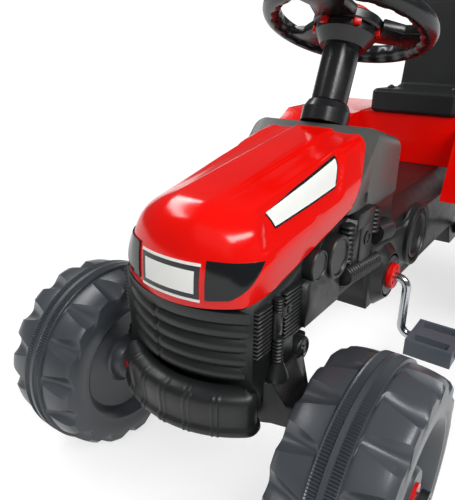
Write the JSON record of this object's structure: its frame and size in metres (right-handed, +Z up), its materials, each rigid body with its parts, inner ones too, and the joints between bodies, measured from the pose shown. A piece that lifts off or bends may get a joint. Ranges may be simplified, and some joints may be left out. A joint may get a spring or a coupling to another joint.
{
  "type": "ride-on tractor toy",
  "caption": "Child's pedal tractor with a moulded bonnet, dark engine body, steered front wheels, chain-driven rear axle, bent pedal crank, seat and tow hitch.",
  "frame": {"origin": "on the floor under the middle of the bounding box", "axes": "+Z up, front faces -Y, the rider's left is +X"},
  "size_m": [0.529, 1, 0.5987],
  "materials": {
    "red_gloss": "gloss red moulding",
    "red_plastic": "red moulding",
    "smoked_lens": "smoked dark lens",
    "zinc_steel": "bright zinc plated steel",
    "dark_steel": "oiled steel",
    "grey_plastic": "grey moulding",
    "charcoal_plastic": "charcoal moulding",
    "black_gloss": "gloss black moulding",
    "black_plastic": "satin black moulding"
  },
  "bodies": {
    "chassis": {"engine_body": "black_plastic", "radiator_grille": "black_plastic", "headlamp_left": "smoked_lens", "headlamp_right": "smoked_lens", "bonnet": "red_gloss", "dash": "charcoal_plastic", "column_bush": "black_gloss", "rear_body": "red_gloss", "seat": "black_plastic", "seat_bolts": "dark_steel", "front_axle_beam": "black_plastic", "crank_bearing_left": "red_plastic", "crank_bearing_right": "red_plastic", "rear_axle_bush_left": "black_plastic", "rear_axle_bush_right": "black_plastic", "drive_chain": "dark_steel", "tow_hitch": "zinc_steel"},
    "steering": {"column_tube": "black_gloss", "steering_rod": "zinc_steel", "wheel_hub": "black_gloss", "steering_wheel": "black_gloss"},
    "horn": {"horn_button": "red_plastic"},
    "left_knuckle": {"knuckle_left": "zinc_steel", "kingpin_cap_left": "dark_steel", "front_axle_cap_left": "dark_steel"},
    "right_knuckle": {"knuckle_right": "zinc_steel", "kingpin_cap_right": "dark_steel", "front_axle_cap_right": "dark_steel"},
    "tie_rod": {"tie_rod": "zinc_steel"},
    "front_left": {"front_wheel_left": "black_plastic", "front_hub_left": "red_plastic"},
    "front_right": {"front_wheel_right": "black_plastic", "front_hub_right": "red_plastic"},
    "rear_drive": {"rear_axle": "zinc_steel", "rear_wheel_left": "black_plastic", "rear_hub_left": "red_plastic", "rear_axle_cap_left": "dark_steel", "rear_axle_cap_right": "dark_steel", "rear_sprocket": "dark_steel"},
    "rear_right": {"rear_wheel_right": "black_plastic", "rear_hub_right": "red_plastic"},
    "crank": {"crank_rod": "zinc_steel", "crank_sprocket": "dark_steel", "pedal_cap_left": "dark_steel", "pedal_cap_right": "dark_steel"},
    "left_pedal": {"pedal_left": "grey_plastic"},
    "right_pedal": {"pedal_right": "grey_plastic"}
  },
  "joints": [
    {"name": "steering_turn", "type": "hinge", "parent": "chassis", "child": "steering", "pos_m": [0, -0.129, 0.437], "axis": [0, 0.3875, 0.9219], "range_deg": [-20, 20]},
    {"name": "horn_press", "type": "slide", "parent": "steering", "child": "horn", "axis": [0, -0.3875, -0.9219], "range_m": [0, 0.003], "stiffness_N_per_m": 400},
    {"name": "left_knuckle_turn", "type": "hinge", "parent": "chassis", "child": "left_knuckle", "pos_m": [0.125, -0.375, 0.125], "axis": [0, 0, 1], "range_deg": [-20, 20]},
    {"name": "right_knuckle_turn", "type": "hinge", "parent": "chassis", "child": "right_knuckle", "pos_m": [-0.125, -0.375, 0.125], "axis": [0, 0, 1], "range_deg": [-20, 20]},
    {"name": "tie_rod_pivot", "type": "hinge", "parent": "left_knuckle", "child": "tie_rod", "pos_m": [0.125, -0.325, 0.108], "axis": [0, 0, 1], "range_deg": [-20, 20]},
    {"name": "front_left_spin", "type": "hinge", "parent": "left_knuckle", "child": "front_left", "pos_m": [0.19, -0.375, 0.125], "axis": [1, 0, 0], "continuous": true},
    {"name": "front_right_spin", "type": "hinge", "parent": "right_knuckle", "child": "front_right", "pos_m": [-0.19, -0.375, 0.125], "axis": [1, 0, 0], "continuous": true},
    {"name": "crank_spin", "type": "hinge", "parent": "chassis", "child": "crank", "pos_m": [0, -0.11, 0.221], "axis": [1, 0, 0], "continuous": true},
    {"name": "rear_axle_spin", "type": "hinge", "parent": "chassis", "child": "rear_drive", "pos_m": [0, 0.325, 0.16], "axis": [1, 0, 0], "continuous": true},
    {"name": "rear_right_spin", "type": "hinge", "parent": "rear_drive", "child": "rear_right", "pos_m": [-0.2, 0.325, 0.16], "axis": [1, 0, 0], "continuous": true},
    {"name": "left_pedal_spin", "type": "hinge", "parent": "crank", "child": "left_pedal", "pos_m": [0.18, -0.11, 0.137], "axis": [1, 0, 0], "continuous": true},
    {"name": "right_pedal_spin", "type": "hinge", "parent": "crank", "child": "right_pedal", "pos_m": [-0.18, -0.11, 0.305], "axis": [1, 0, 0], "continuous": true}
  ],
  "couplings": [
    {"joint": "left_knuckle_turn", "follows": "steering_turn", "ratio": 1},
    {"joint": "right_knuckle_turn", "follows": "steering_turn", "ratio": 1},
    {"joint": "tie_rod_pivot", "follows": "steering_turn", "ratio": -1},
    {"joint": "rear_axle_spin", "follows": "crank_spin", "ratio": 1.25}
  ]
}
